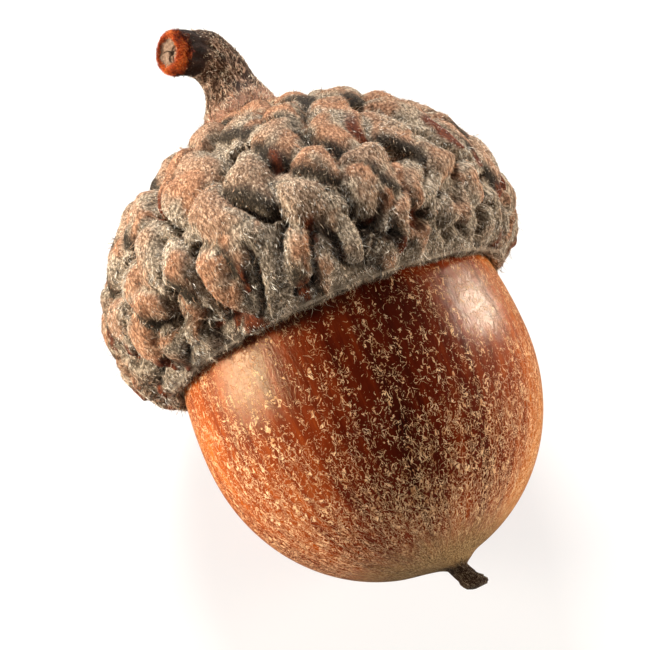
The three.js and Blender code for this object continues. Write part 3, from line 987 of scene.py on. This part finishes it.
def stemRoute():  # a smooth line through the route's points
    s = stemShape
    towards, right = sideways(s["bendsTo"]), sideways(s["bendsTo"] + 90)
    foot = np.array([s["seatAt"] - s["clearance"], 0, 0])
    outward = np.array([-1, 0, 0])
    knots = [foot + outward * out + right * across + towards * bend for out, across, bend in s["route"]]
    knots = [2 * knots[0] - knots[1]] + knots + [2 * knots[-1] - knots[-2]]
    line = []
    for p0, p1, p2, p3 in zip(knots, knots[1:], knots[2:], knots[3:]):
        d0, d1, d2 = (math.sqrt(math.dist(a, b)) for a, b in ((p0, p1), (p1, p2), (p2, p3)))
        m1 = ((p1 - p0) / d0 - (p2 - p0) / (d0 + d1) + (p2 - p1) / d1) * d1
        m2 = ((p2 - p1) / d1 - (p3 - p1) / (d1 + d2) + (p3 - p2) / d2) * d1
        square, cube = 3 * (p2 - p1) - 2 * m1 - m2, 2 * (p1 - p2) + m1 + m2
        for t in np.linspace(0, 1, 80, endpoint=False):
            line.append(p1 + m1 * t + square * t ** 2 + cube * t ** 3)
    line.append(knots[-2])
    return np.array(line)


def stemMaterial():
    m, shader = newMaterial("stemBark", Roughness=0.8, Specular_IOR_Level=0.3)
    bark = readPoints(m, "barkAt", "Vector")  # round, round, mm along
    keys = ("ring", "face", "crack", "char", "along")
    ring, face, crack, char, along = (readPoints(m, key) for key in keys)
    grain = noiseOn(m, stretched(m, bark, (1, 1, 0.35)), 3.2, 5, 0.65)
    side = ramp(m, grain, [(0.3, (22, 12, 8)), (0.5, (50, 30, 20)), (0.72, (92, 64, 46))])

    # a net of felted threads that runs along the bark
    warped = wandering(m, bark, (1, 1, 0.26), size=1.3, reach=0.7, middle=0.0)
    net = largest(m, [thinLine(m, warped, size, width, 0.4) for size, width in ((2.5, 0.03), (4.2, 0.036))])
    net = sums(m, "MULTIPLY", net, sums(m, "SUBTRACT", 1.0, char))
    thread = ramp(m, noiseOn(m, bark, 4.0, 2), [(0.3, (122, 90, 72)), (0.7, (200, 166, 142))])
    colour = mixColour(m, sums(m, "MULTIPLY", net, 0.75), side, thread)
    pink = ramp(m, noiseOn(m, bark, 6.0, 3, 0.7), [(0.3, (96, 62, 48)), (0.7, (198, 152, 128))])
    colour = mixColour(m, between(m, along, 0.3, 0.1), colour, pink)
    black = ramp(m, grain, [(0.35, (12, 4, 3)), (0.7, (44, 22, 15))])
    colour = mixColour(m, char, colour, black)
    rusts = [(0.36, (70, 14, 5)), (0.5, (176, 72, 18)), (0.66, (232, 128, 46))]
    colour = mixColour(m, ring, colour, ramp(m, noiseOn(m, bark, 5.0, 4, 0.6), rusts))
    woods = [(0.3, (86, 64, 52)), (0.55, (136, 112, 94)), (0.75, (172, 150, 128))]
    colour = mixColour(m, face, colour, ramp(m, noiseOn(m, bark, 7.0, 4, 0.65), woods))
    colour = mixColour(m, crack, colour, colourOf(30, 16, 11))
    feed(m, shader.inputs["Base Color"], colour)
    height = sums(m, "MULTIPLY_ADD", net, 0.5, grain)
    bump = addNode(m, "Bump", {"Height": height, "Distance": 0.0002, "Strength": 0.8})
    feed(m, shader.inputs["Normal"], bump.outputs[0])
    return m


def makeStem():
    s = stemShape
    line = stemRoute()
    reach = distanceAlong(line)
    total = reach[-1]
    outline = [(0.0, 0.0)]
    for i in range(s["rings"] + 1):
        share = 0.94 * i / s["rings"]
        foot = (s["footRadius"] - s["middleRadius"]) * (1 - float(smooth(share, 0.08, 0.42)))
        end = (s["middleRadius"] - s["endRadius"]) * float(smooth(share, 0.45, 0.85))
        outline.append((s["middleRadius"] + foot - end, share))
    outline += [(s["barkRing"] * part, share) for part, share in s["ringOutline"]]
    outline.append((s["faceRadius"] + 0.03, 0.998))
    for i in range(12, -1, -1):
        outline.append((s["faceRadius"] * i / 12, 0.993))
    bm = spunBody([(r, share * total) for r, share in outline], s["around"])
    places = placesOf(bm)
    share = np.clip(places[:, 0] / total, 0, 1)
    radius = np.hypot(places[:, 1], places[:, 2])
    angle = np.arctan2(places[:, 1], places[:, 2])
    sinA, cosA = np.sin(angle), np.cos(angle)
    at = share * total
    noiseRadius = np.where(share > 0.992, radius, 1.4)  # the same all along the bark
    roundAt = np.stack([noiseRadius * cosA, noiseRadius * sinA, at], 1)
    aside = np.hypot(radius * sinA - s["faceAside"][0], radius * cosA - s["faceAside"][1])
    aside = aside + 0.07 * SoftNoise(85, 0.5).at(roundAt)
    inRing = 1 - smooth(aside, s["faceRadius"] - 0.04, s["faceRadius"] + 0.02)
    onFace = smooth(share, 0.992, 0.9925) * inRing
    ring = smooth(share + 0.012 * SoftNoise(86, 0.4).at(roundAt), 0.93, 0.965) * (1 - onFace)

    # furrows along the bark, a lumpy ring, and cracks that run out from the middle of the wood
    furrows = SoftNoise(81, 0.42).at(roundAt * (1, 1, 0.28)) * 0.09 + SoftNoise(82, 0.9).at(roundAt) * 0.08
    lumps = SoftNoise(83, 0.3).at(roundAt) * 0.05
    grow = np.where(ring > 0.5, lumps, furrows) * smooth(radius, s["faceRadius"], s["faceRadius"] + 0.2)
    cracks = np.zeros(len(places))
    for start, wander, wide in s["cracks"]:
        off = (angle - start - wander * radius + math.pi) % math.tau - math.pi
        cracks = np.maximum(cracks, 1 - smooth(np.abs(off) * radius, wide * 0.4, wide * 1.4))
    pith = 1 - smooth(radius, 0.1, 0.22)
    cracks = np.maximum(cracks * (1 - smooth(radius, 0.6, 0.85)), pith) * onFace
    sunk = cracks * 0.16 + onFace * (0.06 - 0.05 * SoftNoise(84, 0.3).at(roundAt))

    # bent along the route
    tangents = np.gradient(line, reach, axis=0)
    middle, forward = (
        np.stack([np.interp(at, reach, numbers[:, k]) for k in range(3)], 1) for numbers in (line, tangents)
    )
    forward /= np.linalg.norm(forward, axis=1)[:, None]
    right = np.cross([0, 0, 1], forward)
    right /= np.linalg.norm(right, axis=1)[:, None]
    across = right * sinA[:, None] + np.cross(right, forward) * cosA[:, None]
    movePoints(bm, laidDown(middle + across * (radius + grow)[:, None] - forward * sunk[:, None]))
    bmesh.ops.recalc_face_normals(bm, faces=bm.faces)
    piece = finishPiece("stemBark", bm, stemMaterial())
    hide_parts("stem")
    keepOnPoints(piece, {
        "ring": ring,
        "face": onFace,
        "crack": cracks,
        "char": smooth(share + 0.03 * SoftNoise(87, 0.7).at(roundAt), 0.72, 0.84) * (1 - ring),
        "along": share,
        "barkAt": roundAt,
        "flow": laidAlong(forward),
    })
    return piece


stemPiece = makeStem()
print("stem made:", len(stemPiece.data.polygons), "faces")

stemWool = {"name": "stemWool", "seed": 91, "count": 15000, "steps": 2, "shortest": 0.18, "longest": 0.46,
            "width": 0.034, "lift": 10, "liftMess": 6, "mess": 16, "tuft": 0.7, "swirl": 30, "curl": 0.3,
            "strays": 0.04, "strayLength": 1.0}
ringFuzz = {"name": "stemRingFuzz", "seed": 95, "count": 9000, "steps": 2, "shortest": 0.12, "longest": 0.3,
            "width": 0.028, "lift": 64, "liftMess": 12, "mess": 60, "tuft": 0.5, "swirl": 40, "curl": 0.3,
            "strays": 0.1, "strayLength": 1.2}
stemBlacks = [(0.79, (8, 3, 2)), (0.90, (34, 20, 14)), (1.0, (60, 40, 30))]
ringRusts = [(0.0, (48, 10, 5)), (0.3, (132, 40, 12)), (0.62, (214, 98, 28)), (1.0, (246, 164, 84))]
netNoise = SoftNoise(93, 0.33)


def keepBark(values):
    threads = 1 - smooth(np.abs(netNoise.at(values["barkAt"] * (1, 1, 0.4))), 0.05, 0.2)
    base = 1 - smooth(values["along"][:, 0], 0.12, 0.34)
    amount = np.clip(0.55 + threads * 0.8 + base * 0.3, 0, 1.6) * (1 - 0.3 * values["char"][:, 0])
    return (values["ring"][:, 0] < 0.1) * (values["face"][:, 0] < 0.1) * amount


def keepRing(values):
    return smooth(values["ring"][:, 0], 0.2, 0.8)


def makeStemWool():
    s = stemWool
    spots, chanceOf = scatterOn(stemPiece, s["count"], s["seed"], keepBark)
    base = 1 - smooth(spots["along"], 0.12, 0.4)
    draw = chanceOf.random(s["count"])
    within = chanceOf.beta(2.4, 1.8, s["count"])
    tone = np.where(draw < base * 0.3, 0.48 + 0.26 * within, 0.02 + 0.34 * within)
    blackish = chanceOf.random(s["count"]) < 0.26 + 0.7 * spots["char"]
    tone = np.where(blackish, 0.79 + 0.07 * within, tone)
    material = woolMaterial("stemWool", cupWoolStops[:8] + stemBlacks)
    growHair(s["name"], spots, chanceOf, s, tone, material)

    s = ringFuzz
    spots, chanceOf = scatterOn(stemPiece, s["count"], s["seed"], keepRing)
    patchy = SoftNoise(97, 0.7).at(spots["place"] * 1000)
    towardsBark = 1 - smooth(spots["along"], 0.95, 0.985)
    tone = np.clip(chanceOf.beta(2, 2, s["count"]) + 0.3 * patchy - 0.4 * towardsBark, 0, 1)
    growHair(s["name"], spots, chanceOf, s, tone, woolMaterial("ringFuzz", ringRusts))
    print("stem wool grown")


makeStemWool()


# Floor, lights and sky

studio = {
    "floorTone": 0.92,
    "floorInGloss": 0.08,  # the floor as a mirror sees it
    "floorGlow": 0.7,  # how far the floor is lit through, so that shadows on it stay faint
    "sky": 0.1,  # for what the soft light of the room lights
    "skyInGloss": 0.03,
    "lights": [  # name, direction towards it, distance, width, height, watts, colour, what it lights
        ("leftSoft", (-0.29, -0.94, 0.16), 0.3, 0.12, 0.12, 2.35, (1.0, 0.9, 0.77), "soft"),
        ("leftGloss", (-0.28, -0.94, 0.16), 0.3, 0.06, 0.12, 1.0, (1.0, 0.86, 0.56), "gloss"),
        ("backSoft", (-0.8, 0.1, 0.55), 0.36, 0.12, 0.12, 2.45, (1.0, 0.96, 0.9), "both"),
        ("rightSoft", (0.36, 0.9, 0.22), 0.3, 0.14, 0.1, 1.2, (1.0, 0.89, 0.76), "soft"),
        ("rightGloss", (-0.18, 0.97, 0.06), 0.26, 0.042, 0.012, 0.42, (1.0, 0.9, 0.74), "gloss"),
    ],
}


def makeStudio(s):
    bm = bmesh.new()
    bmesh.ops.create_grid(bm, x_segments=1, y_segments=1, size=1.5)
    mesh = bpy.data.meshes.new("floor")
    bm.to_mesh(mesh)
    bm.free()
    floor = bpy.data.objects.new("floor", mesh)
    scene.collection.objects.link(floor)
    m, shader = newMaterial("paleFloor", Roughness=0.9)
    path = addNode(m, "LightPath").outputs
    plain, dim, own = ((tone,) * 3 + (1,) for tone in (s["floorTone"], s["floorInGloss"], 1 - s["floorGlow"]))
    colour = mixColour(m, path["Is Glossy Ray"], plain, dim)
    feed(m, shader.inputs["Base Color"], mixColour(m, path["Is Camera Ray"], colour, own))
    shader.inputs["Emission Color"].default_value = (1, 1, 1, 1)
    feed(m, shader.inputs["Emission Strength"], sums(m, "MULTIPLY", path["Is Camera Ray"], s["floorGlow"]))
    mesh.materials.append(m)
    for name, towards, distance, width, height, watts, colour, part in s["lights"]:
        lamp = bpy.data.lights.new(name, "AREA")
        lamp.shape = "RECTANGLE"
        lamp.size, lamp.size_y = width, height
        lamp.energy = watts
        lamp.color = colour
        light = bpy.data.objects.new(name, lamp)
        towards = Vector(towards).normalized()
        light.location = Vector((0, 0, 0.012)) + towards * distance
        light.rotation_euler = towards.to_track_quat("Z", "Y").to_euler()
        light.visible_glossy = part != "soft"
        light.visible_diffuse = part != "gloss"
        scene.collection.objects.link(light)
    world = bpy.data.worlds.new("studioSky")
    world.use_nodes = True
    sky = world.node_tree.nodes["Background"]
    sky.inputs["Color"].default_value = (1, 1, 1, 1)
    path = addNode(world, "LightPath").outputs
    strength = sums(world, "MULTIPLY_ADD", path["Is Glossy Ray"], s["skyInGloss"] - s["sky"], s["sky"])
    strength = sums(world, "MAXIMUM", strength, path["Is Camera Ray"])
    feed(world, sky.inputs["Strength"], strength)
    scene.world = world


makeStudio(studio)
print("studio set")
